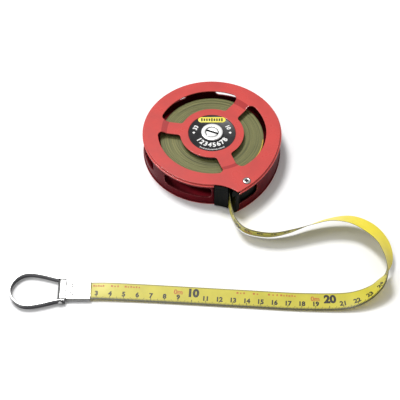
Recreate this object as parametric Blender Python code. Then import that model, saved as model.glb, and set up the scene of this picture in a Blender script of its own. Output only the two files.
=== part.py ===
# Open-frame steel tape measure lying on its back, with its tape out in a loose loop.
# All sizes are in millimetres, and MM turns them into Blender's metres.
# Most pieces are drawn round the hub axis, which an empty places in the part's frame.
import math

import bmesh
import bpy
from mathutils import Matrix, Vector

MM = 0.001
GAP = 0.3

# Case outline: a circle that widens in a flatter side arc to a nose, with a hollow flank.
CASE_RADIUS = 55.0
CASE_DEPTH = 23.0
SIDE_START = -5.0
SIDE_RADIUS = 75.5
FLANK_ANGLE = 270.0
FLANK_RADIUS = 28.0
NOSE_RADIUS = 1.5
LIP_CENTRE = (17.3, -61.5)
LIP_ROOT = (19.6, -56.3)
LIP_RADIUS = 2.5
NOSE_REACH = LIP_RADIUS - LIP_CENTRE[1]
HUB_Y = (NOSE_REACH - CASE_RADIUS) / 2

# Pressed cheeks: a flat ring with recessed spokes and hub. The front one has a shoulder
# that drops to a narrow brim, and the rear one is flat out to its edge.
SHEET = 1.0
SHOULDER_INSET = 1.2
BRIM_TOP = 21.4
BRIM_BOTTOM = 20.6
FRONT_RECESS = 2.0
REAR_RECESS = 1.2
RAMP_INNER = 0.65 * CASE_RADIUS
RAMP_OUTER = 0.73 * CASE_RADIUS
MIDDLE_RADIUS = 0.745 * CASE_RADIUS
MIDDLE_OVERLAP = 0.76 * CASE_RADIUS
WINDOW_OUTER = 0.78 * CASE_RADIUS
REAR_WINDOW_OUTER = 0.725 * CASE_RADIUS
WINDOW_INNER = 0.46 * CASE_RADIUS
SPOKE_WIDTH = 12.0
SPOKE_ANGLES = (51.0, 171.0, 291.0)
WINDOW_OUTER_CORNER = 4.0
WINDOW_INNER_CORNER = 2.5
LABEL_RADIUS = 18.6
LABEL_SEAT = 1.2
AXLE_HOLE = 2.6
CUT_DEPTH = 8.0
CUT_ABOVE = 2.0
MOUTH_START = 271.5
GUIDE_STAND = 2.2
SIDE_WINDOW_ANGLE = 311.0
SIDE_WINDOW_CENTRE = (26.3, -56.9)
SIDE_WINDOW_WIDTH = 23.0
SIDE_WINDOW_REACH = 8.0

# Side wall between the cheeks, with long openings.
WALL_OFFSET = 0.6
WALL_THICKNESS = 1.2
WALL_BOTTOM = SHEET + GAP
WALL_TOP = BRIM_BOTTOM - GAP
WINDOW_SILL = 7.7
WINDOW_HEAD = 18.7
WINDOW_CORNER = 3.0
WINDOW_SPAN = 42.0
WINDOW_REACH = 24.0
WINDOW_MIDDLES = (19, 65, 134, 191, 248)
GUIDE_INSET = SHOULDER_INSET + SHEET + GAP
GUIDE_BOTTOM = SHEET + GAP
GUIDE_TOP = CASE_DEPTH - SHEET - GAP
SLOT_CLEARANCE = 0.8
COIL_CLEARANCE = 1.2

# Wound tape and its drum.
COIL_OUTER = 40.9
COIL_INNER = 23.6
TAPE_WIDTH = 14.0
TAPE_THICKNESS = 0.3
TAPE_MID = 9.5
DRUM_OUTER = 23.2
DRUM_INNER = 21.7
DRUM_BOTTOM = 3.4
DRUM_TOP = 17.0
WEB_BOTTOM = 4.1
WEB_THICKNESS = 1.2
WEB_BORE = 6.4

# Label, spindle, bearing and axle fittings.
LABEL_THICKNESS = 0.5
WASHER_INNER = 5.3
WASHER_OUTER = 8.5
WASHER_THICKNESS = 1.5
SCREW_SHANK = 2.0
SCREW_HEAD = 4.9
SCREW_HEAD_THICKNESS = 1.3
SCREW_END = 12.0
SCREW_SLOT_WIDTH = 1.7
SCREW_SLOT_FLOOR = 0.4
SCREW_SLOT_ANGLE = -22.0
SPINDLE_RADIUS = 4.0
SPINDLE_BORE = 2.3
SPINDLE_FLANGE = 9.0
SPINDLE_FLANGE_THICKNESS = 1.0
BUSH_INNER = 4.3
BUSH_OUTER = 6.1
BUSH_TOP = 17.1
REAR_WASHER_RADIUS = 6.0
REAR_WASHER_BOTTOM = 3.2
REAR_WASHER_TOP = 3.8
REAR_HEAD_RADIUS = 3.9
REAR_HEAD_BOTTOM = 2.1
REAR_HEAD_TOP = 2.9
REAR_SCREW_END = 9.0
REAR_SLOT_WIDTH = 1.0
REAR_SLOT_FLOOR = 2.5
EYELET_CENTRE = (26.2, -50.3)
EYELET_FLANGE = 3.15
EYELET_SHANK = 2.1
EYELET_BORE = 1.0
EYELET_REAR = 1.0

# Folding crank, along +X when the reel is at rest.
DISH_RADIUS = 19.0
DISH_BOTTOM = 2.9
DISH_THICKNESS = 0.9
CRANK_PIVOT_X = 15.0
CRANK_PIVOT_Z = 1.4
CRANK_LENGTH = 27.0
KNOB_X = CRANK_PIVOT_X - CRANK_LENGTH
ARM_BOTTOM = 0.6
ARM_THICKNESS = 1.2
ARM_HALF_WIDTH = 4.0
KNOB_BOTTOM = 2.1
KNOB_TOP = 9.5
KNOB_WELL = 4.9
WELL_X = KNOB_X - 0.1
STUD_HOLE = 1.5
STUD_RADIUS = 1.2
STUD_HEAD = 2.2
HINGE_BORE = 0.8
HINGE_PIN_RADIUS = 0.5
KNUCKLE_RADIUS = 1.2
LUG_CLEARANCE = 0.4
LUG_THICKNESS = 1.2
LUG_REACH = 1.6
BRACKET_END = 2.8
BRACKET_BASE = 0.5
DISH_HOLE = 6.5
DISH_SCREW_RADIUS = 16.2
DISH_SCREW_ANGLES = (90, 230, 310)
DISH_SCREW_HEAD = 1.8
DISH_SCREW_HEAD_THICKNESS = 0.8
DISH_SCREW_SHANK = 0.9
DISH_SCREW_HOLE = 1.2

# End fitting of the tape: its axis runs along X at END_Y.
END_Y = -137.0
TAPE_END_Z = 2.4
FERRULE_START = -89.3
FERRULE_LENGTH = 17.9
FERRULE_WIDTH = 15.2
PLATE_THICKNESS = 1.3
RIVET_X = -103.7
RIVET_SPREAD = 3.6
RIVET_SHANK = 0.9
RIVET_HEAD = 1.6
RIVET_HEAD_THICKNESS = 0.5
RIVET_HOLE = 1.2
CLIP_WIDTH = 15.8
CLIP_START = -107.5
PIN_X = -111.1
PIN_Z = 2.9
PIN_RADIUS = 1.1
PIN_HEAD = 1.5
PIN_HEAD_THICKNESS = 0.6
CLIP_RADIUS = 2.6
CLIP_TAIL = 1.4
PIN_LENGTH = 21.4
LOOP_HEIGHT = 5.0
LOOP_THICKNESS = 1.1

# Route of the free tape's centre line: x, y, z round the hub axis, and the lean of the
# tape from upright in degrees, towards the right of its travel.
TAPE_ROUTE = (
    (36.4, -20.0, 9.5, 0),
    (33.0, -25.2, 9.5, 0),
    (27.0, -33.2, 9.6, 0),
    (20.6, -41.2, 10.0, 0),
    (15.6, -46.2, 10.5, -2),
    (13.1, -51.6, 10.8, -3),
    (13.0, -61.2, 10.3, -2),
    (14.9, -70.7, 9.3, 2),
    (19.3, -80.6, 8.2, 11),
    (27.5, -87.0, 7.5, 19),
    (43.3, -90.1, 7.6, 22),
    (58.9, -87.5, 8.7, 25),
    (74.7, -82.1, 9.9, 34),
    (89.0, -78.6, 11.7, 43),
    (104.8, -79.2, 12.5, 60),
    (117.9, -87.0, 12.7, 66),
    (126.6, -99.2, 12.8, 55),
    (129.2, -111.9, 12.5, 38),
    (127.8, -122.0, 12.0, 10),
    (124.9, -130.0, 10.3, -26),
    (118.8, -137.3, 7.2, -52),
    (107.6, -143.4, 4.4, -76),
    (92.9, -146.1, 2.6, -92),
    (62.5, -145.8, 2.0, -95),
    (29.2, -143.7, 1.9, -96),
    (-5.1, -141.4, 1.9, -96),
    (-44.3, -138.9, 2.1, -97),
    (-73.8, -137.4, 2.5, -96),
    (-88.5, -137.0, 2.5, -92),
    (-106.6, -137.0, 2.4, -90),
)
ROUTE_STEPS = 3


def clear_scene():
    for old in list(bpy.data.objects):
        bpy.data.objects.remove(old, do_unlink=True)


def make_material(name, colour, roughness, metallic):
    material = bpy.data.materials.new(name)
    material.use_nodes = True
    shader = material.node_tree.nodes["Principled BSDF"]
    shader.inputs["Base Color"].default_value = (*colour, 1.0)
    shader.inputs["Roughness"].default_value = roughness
    shader.inputs["Metallic"].default_value = metallic
    material.diffuse_color = (*colour, 1.0)
    return material


def add_object(name, mesh_data, material, parent):
    bmesh.ops.recalc_face_normals(mesh_data, faces=mesh_data.faces)
    mesh = bpy.data.meshes.new(name)
    mesh_data.to_mesh(mesh)
    mesh_data.free()
    mesh.shade_smooth()
    mesh.set_sharp_from_angle(angle=math.radians(30))
    if material:
        mesh.materials.append(material)
    thing = bpy.data.objects.new(name, mesh)
    bpy.context.scene.collection.objects.link(thing)
    thing.parent = parent
    return thing


def add_empty(name, place, parent):
    empty = bpy.data.objects.new(name, None)
    empty.location = Vector(place) * MM
    empty.parent = parent
    bpy.context.scene.collection.objects.link(empty)
    return empty


def polar(radius, degrees):
    angle = math.radians(degrees)
    return (radius * math.cos(angle), radius * math.sin(angle))


def arc(centre, radius, start, end, steps):
    points = []
    for step in range(steps + 1):
        x, y = polar(radius, start + (end - start) * step / steps)
        points.append((centre[0] + x, centre[1] + y))
    return points


def prism(outline, bottom, top):
    # A flat outline raised from one height to another.
    data = bmesh.new()
    corners = [data.verts.new((x * MM, y * MM, bottom * MM)) for x, y in outline]
    face = data.faces.new(corners)
    raised = bmesh.ops.extrude_face_region(data, geom=[face])
    moved = [item for item in raised["geom"] if isinstance(item, bmesh.types.BMVert)]
    bmesh.ops.translate(data, verts=moved, vec=(0, 0, (top - bottom) * MM))
    return data


def box(low, high):
    outline = ((low[0], low[1]), (high[0], low[1]), (high[0], high[1]), (low[0], high[1]))
    return prism(outline, low[2], high[2])


def turned(profile, segments, centre=(0.0, 0.0)):
    # A closed profile of (radius, height) spun round an upright axis.
    data = bmesh.new()
    points = [data.verts.new((r * MM, 0, z * MM)) for r, z in profile]
    edges = [data.edges.new((a, b)) for a, b in zip(points, points[1:] + points[:1])]
    bmesh.ops.spin(
        data, geom=points + edges, cent=(0, 0, 0), axis=(0, 0, 1),
        angle=math.tau, steps=segments, use_merge=True, use_duplicate=False,
    )
    bmesh.ops.remove_doubles(data, verts=data.verts, dist=0.00001)
    bmesh.ops.translate(data, verts=data.verts, vec=(centre[0] * MM, centre[1] * MM, 0))
    return data


def rod(radius, bottom, top, segments, centre=(0.0, 0.0)):
    return turned(((0, bottom), (radius, bottom), (radius, top), (0, top)), segments, centre)


def lay_along_y(data, place):
    # Turns an upright turned piece to lie along Y, then moves it to its place.
    bmesh.ops.transform(data, verts=data.verts, matrix=Vector((0, 0, 1)).rotation_difference(
        Vector((0, 1, 0))).to_matrix().to_4x4())
    bmesh.ops.translate(data, verts=data.verts, vec=Vector(place) * MM)
    return data


def combine(target, tool, operation):
    # Keeps the tool as a hidden guide and adds a live Boolean to the target.
    tool.hide_render = True
    tool.display_type = "WIRE"
    step = target.modifiers.new(tool.name, "BOOLEAN")
    step.operation = operation
    step.object = tool
    step.solver = "EXACT"


def cut(target, name, data, parent):
    combine(target, add_object(name, data, None, parent), "DIFFERENCE")


def join(target, name, data, parent):
    combine(target, add_object(name, data, None, parent), "UNION")


def keep(target, name, data, parent):
    combine(target, add_object(name, data, None, parent), "INTERSECT")


def mirrored(heights, flip):
    # Heights measured from the front are used as they are, or from the back.
    return [CASE_DEPTH - height for height in heights] if flip else list(heights)


def crossing(first, first_radius, second, second_radius):
    # Where two circles meet, on the right of the way from the first to the second.
    way = Vector(second) - Vector(first)
    along = (way.length_squared + first_radius ** 2 - second_radius ** 2) / (2 * way.length)
    across = math.sqrt(first_radius ** 2 - along ** 2)
    step = way.normalized()
    return Vector(first) + step * along + Vector((step.y, -step.x)) * across


def bearing(start, end):
    return math.degrees(math.atan2(end[1] - start[1], end[0] - start[0]))


def case_outline(inset, steps=84):
    # Four arcs that meet in tangents: case, hollow flank, nose and flatter side.
    side = polar(CASE_RADIUS - SIDE_RADIUS, SIDE_START)
    flank = polar(CASE_RADIUS + FLANK_RADIUS, FLANK_ANGLE)
    tip = max(NOSE_RADIUS - inset, 0.2)
    nose = crossing(flank, FLANK_RADIUS + inset + tip, side, SIDE_RADIUS - inset - tip)
    side_end = bearing(side, nose)
    points = arc((0, 0), CASE_RADIUS - inset, SIDE_START, FLANK_ANGLE, steps)
    points += arc(flank, FLANK_RADIUS + inset, FLANK_ANGLE - 180, bearing(flank, nose), 10)[1:]
    points += arc(nose, tip, bearing(nose, flank) + 360, side_end + 360, 6)[1:]
    points += arc(side, SIDE_RADIUS - inset, side_end, SIDE_START, 18)[1:-1]
    return points


def window_outline(spoke, next_spoke, reach):
    # The opening between two spokes, with its four corners rounded.
    outer = reach - WINDOW_OUTER_CORNER
    inner = WINDOW_INNER + WINDOW_INNER_CORNER
    outer_swing = math.degrees(math.asin((SPOKE_WIDTH / 2 + WINDOW_OUTER_CORNER) / outer))
    inner_swing = math.degrees(math.asin((SPOKE_WIDTH / 2 + WINDOW_INNER_CORNER) / inner))
    first_outer, last_outer = spoke + outer_swing, next_spoke - outer_swing
    first_inner, last_inner = spoke + inner_swing, next_spoke - inner_swing
    points = arc((0, 0), reach, first_outer, last_outer, 16)
    points += arc(polar(outer, last_outer), WINDOW_OUTER_CORNER, last_outer, next_spoke + 90, 5)[1:]
    points += arc(polar(inner, last_inner), WINDOW_INNER_CORNER, next_spoke + 90, last_inner + 180, 5)
    points += arc((0, 0), WINDOW_INNER, last_inner, first_inner, 12)[1:]
    points += arc(polar(inner, first_inner), WINDOW_INNER_CORNER, first_inner + 180, spoke + 270, 5)[1:]
    points += arc(polar(outer, first_outer), WINDOW_OUTER_CORNER, spoke + 270, first_outer + 360, 5)[:-1]
    return points


def mouth_region(margin):
    # The flank of the nose, from the start of the mouth to the lip.
    start = MOUTH_START - margin
    return [
        polar(40.0, start), polar(80.0, start), (LIP_CENTRE[0] + LIP_RADIUS + margin, -80.0),
        (LIP_CENTRE[0] + LIP_RADIUS + margin, LIP_CENTRE[1]), (16.0, -54.0),
    ]


def capsule(start, end, radius):
    along = bearing(start, end)
    return arc(start, radius, along + 90, along + 270, 8) + arc(end, radius, along - 90, along + 90, 8)


def lip_outline(margin):
    return capsule(LIP_ROOT, LIP_CENTRE, LIP_RADIUS + margin)


def hub_profile(flip):
    # The pressed hub and spokes: flat hub ring, ramp and outer ring. The front one has a
    # seat for the label in its middle, and the rear one a round hole for the crank dish.
    ring = CASE_DEPTH - (REAR_RECESS if flip else FRONT_RECESS)
    seat = ring - LABEL_SEAT
    rim = [(RAMP_INNER, ring), (RAMP_OUTER, CASE_DEPTH), (MIDDLE_OVERLAP, CASE_DEPTH)]
    if flip:
        face = [(DISH_RADIUS + GAP, ring)] + rim
        back = [(radius, height - SHEET) for radius, height in face]
    else:
        label = LABEL_RADIUS + GAP
        face = [(AXLE_HOLE, seat), (label, seat), (label, ring)] + rim
        back = [(AXLE_HOLE, seat - SHEET), (label + SHEET, seat - SHEET), (label + SHEET, ring - SHEET)]
        back += [(radius, height - SHEET) for radius, height in rim]
    profile = face + back[::-1]
    heights = mirrored([height for _, height in profile], flip)
    return [(radius, height) for (radius, _), height in zip(profile, heights)]


def make_cheek(name, red, axis, flip):
    through = mirrored((CASE_DEPTH - CUT_DEPTH, CASE_DEPTH + CUT_ABOVE), flip)
    if flip:
        cheek = add_object(name, prism(case_outline(0.0), 0.0, SHEET), red, axis)
    else:
        cheek = add_object(name, prism(case_outline(SHOULDER_INSET), BRIM_BOTTOM, CASE_DEPTH), red, axis)
        shape_front_edge(cheek, axis)
    cut(cheek, name + "_middle_cut", rod(MIDDLE_RADIUS, min(through), max(through), 84), axis)
    join(cheek, name + "_hub_shape", turned(hub_profile(flip), 84), axis)
    reach = REAR_WINDOW_OUTER if flip else WINDOW_OUTER
    for spoke in SPOKE_ANGLES:
        outline = window_outline(spoke, spoke + 120, reach)
        cut(cheek, f"{name}_window_cut_{spoke:.0f}", prism(outline, min(through), max(through)), axis)
    hole = EYELET_FLANGE + GAP if flip else EYELET_SHANK + GAP
    cut(cheek, name + "_eyelet_cut", rod(hole, min(through), max(through), 24, EYELET_CENTRE), axis)
    return cheek


def shape_front_edge(cheek, axis):
    # The brim, the hollow under the face, and the flank left open for the mouth.
    under = CASE_DEPTH - SHEET
    join(cheek, "front_brim_shape", prism(case_outline(0.0), BRIM_BOTTOM, BRIM_TOP), axis)
    hollow = prism(case_outline(SHOULDER_INSET + SHEET), BRIM_BOTTOM - 1, under)
    cut(cheek, "front_hollow_cut", hollow, axis)
    cut(cheek, "front_mouth_cut", prism(mouth_region(GAP), BRIM_BOTTOM - 1, under), axis)
    cut(cheek, "front_lip_cut", prism(lip_outline(GAP), BRIM_BOTTOM - 1, under), axis)


def make_rim_wall(red, axis):
    below, above = WALL_BOTTOM - 1, WALL_TOP + 1
    wall = add_object("rim_wall", prism(case_outline(WALL_OFFSET), WALL_BOTTOM, WALL_TOP), red, axis)
    inside = prism(case_outline(WALL_OFFSET + WALL_THICKNESS), below, above)
    cut(wall, "rim_wall_inside_cut", inside, axis)
    cut(wall, "rim_wall_mouth_cut", prism(mouth_region(0.5), below, above), axis)
    cut(wall, "rim_wall_lip_cut", prism(lip_outline(GAP), below, above), axis)
    width = 2 * CASE_RADIUS * math.sin(math.radians(WINDOW_SPAN / 2))
    middle = (WINDOW_SILL + WINDOW_HEAD) / 2
    for angle in WINDOW_MIDDLES:
        opening = rounded_slot(width, WINDOW_HEAD - WINDOW_SILL, WINDOW_REACH)
        turn_to(opening, polar(CASE_RADIUS, angle), angle, middle)
        cut(wall, f"rim_wall_window_cut_{angle}", opening, axis)
    opening = rounded_slot(SIDE_WINDOW_WIDTH, WINDOW_HEAD - WINDOW_SILL, SIDE_WINDOW_REACH)
    turn_to(opening, SIDE_WINDOW_CENTRE, SIDE_WINDOW_ANGLE, middle)
    cut(wall, "rim_wall_side_cut", opening, axis)
    return wall


def rounded_slot(width, height, length):
    # A block with rounded ends, lying along X, to cut an opening through the wall.
    half = (width / 2 - WINDOW_CORNER, height / 2 - WINDOW_CORNER)
    outline = []
    for index, (side, rise) in enumerate(((1, 1), (-1, 1), (-1, -1), (1, -1))):
        middle = (side * half[0], rise * half[1])
        outline += arc(middle, WINDOW_CORNER, 90 * index, 90 * index + 90, 4)
    data = prism(outline, -length / 2, length / 2)
    for vert in data.verts:
        vert.co = (vert.co.z, vert.co.x, vert.co.y)
    return data


def turn_to(data, place, degrees, height):
    # Turns a piece drawn along X to face the given way, and moves it to its place.
    turn = Matrix.Rotation(math.radians(degrees), 4, "Z")
    bmesh.ops.transform(data, verts=data.verts, matrix=turn)
    bmesh.ops.translate(data, verts=data.verts, vec=Vector((*place, height)) * MM)


def slot_side(offset):
    # The tape's way out through the mouth, moved sideways to clear its faces.
    rows = smooth_route(TAPE_ROUTE, ROUTE_STEPS)[2 * ROUTE_STEPS:7 * ROUTE_STEPS]
    way = [Vector(row[:2]) for row in rows]
    side = []
    for index, point in enumerate(way):
        before, after = way[max(index - 1, 0)], way[min(index + 1, len(way) - 1)]
        along = (after - before).normalized()
        side.append((point.x + along.y * offset, point.y - along.x * offset))
    return side


def make_mouth_guides(black, axis):
    low, high = GUIDE_BOTTOM, GUIDE_TOP
    coil = COIL_OUTER + COIL_CLEARANCE
    region = [polar(38.0, MOUTH_START), polar(70.0, MOUTH_START)] + slot_side(SLOT_CLEARANCE)[::-1]
    inner = add_object("mouth_guide_inner", prism(region, low, high), black, axis)
    keep(inner, "inner_guide_outline", prism(case_outline(-GUIDE_STAND), low - 1, high + 1), axis)
    cut(inner, "inner_guide_coil_cut", rod(coil, low - 1, high + 1, 96), axis)
    region = slot_side(-SLOT_CLEARANCE) + [(24.0, -75.0), (60.0, -75.0), (60.0, -38.0), (28.0, -38.0)]
    outer = add_object("mouth_guide_outer", prism(region, low, high), black, axis)
    keep(outer, "outer_guide_outline", prism(case_outline(GUIDE_INSET), low - 1, high + 1), axis)
    join(outer, "outer_guide_lip", prism(lip_outline(0.0), low, high), axis)
    cut(outer, "outer_guide_coil_cut", rod(coil, low - 1, high + 1, 96), axis)
    hole = rod(EYELET_SHANK + GAP, low - 1, high + 1, 24, EYELET_CENTRE)
    cut(outer, "outer_guide_eyelet_cut", hole, axis)


def make_eyelet(nickel, axis):
    head = CASE_DEPTH + GAP
    profile = (
        (EYELET_BORE, GAP), (EYELET_FLANGE, GAP), (EYELET_FLANGE, EYELET_REAR), (EYELET_SHANK, EYELET_REAR),
        (EYELET_SHANK, head), (EYELET_FLANGE, head), (EYELET_FLANGE - 0.3, head + 0.5),
        (EYELET_BORE + 0.4, head + 0.6), (EYELET_BORE, head + 0.3),
    )
    add_object("mouth_eyelet", turned(profile, 28, EYELET_CENTRE), nickel, axis)


def make_front_fittings(materials, axis):
    label = CASE_DEPTH - FRONT_RECESS - LABEL_SEAT + GAP
    top = label + LABEL_THICKNESS
    ring = ((AXLE_HOLE, label), (LABEL_RADIUS, label), (LABEL_RADIUS, top), (AXLE_HOLE, top))
    add_object("label_disc", turned(ring, 72), materials["black"], axis)
    low = top + GAP
    top = low + WASHER_THICKNESS
    washer = (
        (WASHER_INNER, low), (WASHER_OUTER, low), (WASHER_OUTER, top - 0.5), (WASHER_OUTER - 0.5, top),
        (WASHER_INNER + 0.4, top), (WASHER_INNER, top - 0.4),
    )
    add_object("axle_washer", turned(washer, 40), materials["nickel"], axis)
    top = low + SCREW_HEAD_THICKNESS
    screw = (
        (0, SCREW_END), (SCREW_SHANK, SCREW_END), (SCREW_SHANK, low), (SCREW_HEAD, low),
        (SCREW_HEAD, top - 0.4), (SCREW_HEAD - 0.6, top), (0, top),
    )
    thing = add_object("axle_screw", turned(screw, 32), materials["nickel"], axis)
    half = SCREW_SLOT_WIDTH / 2
    slot = box((-SCREW_HEAD - 1, -half, low + SCREW_SLOT_FLOOR), (SCREW_HEAD + 1, half, top + 1))
    turn_to(slot, (0, 0), SCREW_SLOT_ANGLE, 0)
    cut(thing, "axle_screw_slot_cut", slot, axis)


def make_spindle(materials, axis):
    seat = CASE_DEPTH - FRONT_RECESS - LABEL_SEAT - SHEET
    flange = seat - GAP - SPINDLE_FLANGE_THICKNESS
    profile = (
        (SPINDLE_BORE, WEB_BOTTOM), (SPINDLE_RADIUS, WEB_BOTTOM), (SPINDLE_RADIUS, flange),
        (SPINDLE_FLANGE, flange), (SPINDLE_FLANGE, seat - GAP), (SPINDLE_BORE, seat - GAP),
    )
    add_object("spindle", turned(profile, 40), materials["steel"], axis)
    low, top = REAR_WASHER_BOTTOM, REAR_WASHER_TOP
    bore = SCREW_SHANK + GAP
    washer = ((bore, low), (REAR_WASHER_RADIUS, low), (REAR_WASHER_RADIUS, top), (bore, top))
    add_object("spindle_washer", turned(washer, 32), materials["steel"], axis)
    low, top = REAR_HEAD_BOTTOM, REAR_HEAD_TOP
    screw = (
        (0, low), (REAR_HEAD_RADIUS - 0.5, low), (REAR_HEAD_RADIUS, low + 0.3), (REAR_HEAD_RADIUS, top),
        (SCREW_SHANK, top), (SCREW_SHANK, REAR_SCREW_END), (0, REAR_SCREW_END),
    )
    thing = add_object("rear_axle_screw", turned(screw, 28), materials["nickel"], axis)
    half = REAR_SLOT_WIDTH / 2
    slot = box((-REAR_HEAD_RADIUS - 1, -half, low - 1), (REAR_HEAD_RADIUS + 1, half, REAR_SLOT_FLOOR))
    cut(thing, "rear_screw_slot_cut", slot, axis)
    low, top = WEB_BOTTOM, BUSH_TOP
    bush = ((BUSH_INNER, low), (BUSH_OUTER, low), (BUSH_OUTER, top), (BUSH_INNER, top))
    add_object("bearing_bush", turned(bush, 40), materials["brass"], axis)


def make_reel(materials, axis):
    web_top = WEB_BOTTOM + WEB_THICKNESS
    drum = (
        (WEB_BORE, WEB_BOTTOM), (DRUM_INNER, WEB_BOTTOM), (DRUM_INNER, DRUM_BOTTOM),
        (DRUM_OUTER, DRUM_BOTTOM), (DRUM_OUTER, DRUM_TOP), (DRUM_INNER, DRUM_TOP),
        (DRUM_INNER, web_top), (WEB_BORE, web_top),
    )
    thing = add_object("reel_drum", turned(drum, 72), materials["steel"], axis)
    cut(thing, "drum_knob_cut", rod(KNOB_WELL, 0, 8, 32, (WELL_X, 0)), axis)
    for index, angle in enumerate(DISH_SCREW_ANGLES):
        hole = rod(DISH_SCREW_HOLE, 0, 8, 16, polar(DISH_SCREW_RADIUS, angle))
        cut(thing, f"drum_screw_cut_{index + 1}", hole, axis)
    low, top = TAPE_MID - TAPE_WIDTH / 2, TAPE_MID + TAPE_WIDTH / 2
    coil = ((COIL_INNER, low), (COIL_OUTER, low), (COIL_OUTER, top), (COIL_INNER, top))
    add_object("wound_tape", turned(coil, 96), materials["olive"], axis)


def make_crank_dish(materials, axis):
    top = DISH_BOTTOM + DISH_THICKNESS
    dish = ((DISH_HOLE, DISH_BOTTOM), (DISH_RADIUS, DISH_BOTTOM), (DISH_RADIUS, top), (DISH_HOLE, top))
    thing = add_object("crank_dish", turned(dish, 64), materials["nickel"], axis)
    cut(thing, "dish_knob_cut", rod(KNOB_WELL, 0, 8, 32, (WELL_X, 0)), axis)
    seat = DISH_BOTTOM - GAP
    low = seat - DISH_SCREW_HEAD_THICKNESS
    end = WEB_BOTTOM + WEB_THICKNESS
    for index, angle in enumerate(DISH_SCREW_ANGLES):
        place = polar(DISH_SCREW_RADIUS, angle)
        cut(thing, f"dish_screw_cut_{index + 1}", rod(DISH_SCREW_HOLE, 0, 8, 16, place), axis)
        screw = (
            (0, low), (DISH_SCREW_HEAD - 0.4, low), (DISH_SCREW_HEAD, low + 0.4), (DISH_SCREW_HEAD, seat),
            (DISH_SCREW_SHANK, seat), (DISH_SCREW_SHANK, end), (0, end),
        )
        add_object(f"dish_screw_{index + 1}", turned(screw, 16, place), materials["steel"], axis)


def make_crank(materials, axis):
    # These pieces are drawn round the crank's hinge pin.
    hinge = add_empty("crank_hinge", (CRANK_PIVOT_X, 0, CRANK_PIVOT_Z), axis)
    dish = DISH_BOTTOM - GAP - CRANK_PIVOT_Z
    lug = ARM_HALF_WIDTH + LUG_CLEARANCE
    outside = lug + LUG_THICKNESS
    base = box((LUG_REACH, -outside, BRACKET_BASE), (BRACKET_END, outside, dish))
    bracket = add_object("crank_bracket", base, materials["steel"], hinge)
    for side, low in (("left", -outside), ("right", lug)):
        ear = box((-LUG_REACH, low, -KNUCKLE_RADIUS), (BRACKET_END, low + LUG_THICKNESS, dish))
        join(bracket, f"bracket_{side}_shape", ear, hinge)
    bore = lay_along_y(rod(HINGE_BORE, -8, 8, 16), (0, 0, 0))
    cut(bracket, "bracket_bore_cut", bore, hinge)
    reach = outside + 0.2
    pin = lay_along_y(rod(HINGE_PIN_RADIUS, -reach, reach, 16), (0, 0, 0))
    add_object("crank_pin", pin, materials["steel"], hinge)
    low = ARM_BOTTOM - CRANK_PIVOT_Z
    high = low + ARM_THICKNESS
    plate = capsule((0, 0), (-CRANK_LENGTH, 0), ARM_HALF_WIDTH)
    plate = [point for point in plate if point[0] <= 0]
    arm = add_object("crank_arm", prism(plate, low, high), materials["nickel"], hinge)
    knuckle = lay_along_y(rod(KNUCKLE_RADIUS, -ARM_HALF_WIDTH, ARM_HALF_WIDTH, 20), (0, 0, 0))
    join(arm, "arm_knuckle_shape", knuckle, hinge)
    bore = lay_along_y(rod(HINGE_BORE, -8, 8, 16), (0, 0, 0))
    cut(arm, "arm_bore_cut", bore, hinge)
    cut(arm, "arm_stud_cut", rod(STUD_HOLE, -4, 4, 20, (-CRANK_LENGTH, 0)), hinge)


def make_knob(materials, axis):
    spin = add_empty("knob_axis", (KNOB_X, 0, 0), axis)
    head, cap = 0.1, KNOB_TOP + 0.9
    stud = (
        (0, head), (STUD_HEAD - 0.3, head), (STUD_HEAD, GAP), (STUD_RADIUS, GAP),
        (STUD_RADIUS, KNOB_TOP + GAP), (STUD_HEAD, KNOB_TOP + GAP), (STUD_HEAD - 0.4, cap), (0, cap),
    )
    add_object("knob_stud", turned(stud, 24), materials["steel"], spin)
    knob = (
        (STUD_HOLE, KNOB_BOTTOM), (3.5, KNOB_BOTTOM), (3.9, KNOB_BOTTOM + 0.5), (3.7, 5.5),
        (3.4, KNOB_TOP - 0.5), (2.9, KNOB_TOP), (STUD_HOLE, KNOB_TOP),
    )
    add_object("crank_knob", turned(knob, 32), materials["black"], spin)


def smooth_route(points, steps):
    # A Catmull-Rom curve through the route's points, lean included.
    rows = [Vector(point) for point in points]
    ends = [rows[0] * 2 - rows[1]] + rows + [rows[-1] * 2 - rows[-2]]
    curve = []
    for index in range(len(rows) - 1):
        a, b, c, d = ends[index:index + 4]
        for step in range(steps):
            t = step / steps
            point = (b * 2 + (c - a) * t + (a * 2 - b * 5 + c * 4 - d) * t ** 2)
            curve.append((point + (b * 3 - a - c * 3 + d) * t ** 3) / 2)
    curve.append(rows[-1])
    return curve


def ribbon(rows, width, thickness):
    # A flat strip swept along the rows, its width leaning by the fourth value.
    data = bmesh.new()
    rings = []
    for index, row in enumerate(rows):
        before, after = rows[max(index - 1, 0)], rows[min(index + 1, len(rows) - 1)]
        along = Vector((after - before)[:3]).normalized()
        right = along.cross(Vector((0, 0, 1))).normalized()
        upright = right.cross(along)
        lean = math.radians(row[3])
        up = upright * math.cos(lean) + right * math.sin(lean)
        face = along.cross(up)
        centre = Vector(row[:3])
        ring = []
        for rise, shift in ((-1, -1), (1, -1), (1, 1), (-1, 1)):
            place = centre + up * (rise * width / 2) + face * (shift * thickness / 2)
            ring.append(data.verts.new(place * MM))
        rings.append(ring)
    for ring, following in zip(rings, rings[1:]):
        for side in range(4):
            other = (side + 1) % 4
            data.faces.new((ring[side], ring[other], following[other], following[side]))
    data.faces.new(rings[0][::-1])
    data.faces.new(rings[-1])
    # The sides are twisted, so they are split the same way for every file.
    bmesh.ops.triangulate(data, faces=data.faces[:])
    return data


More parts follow.
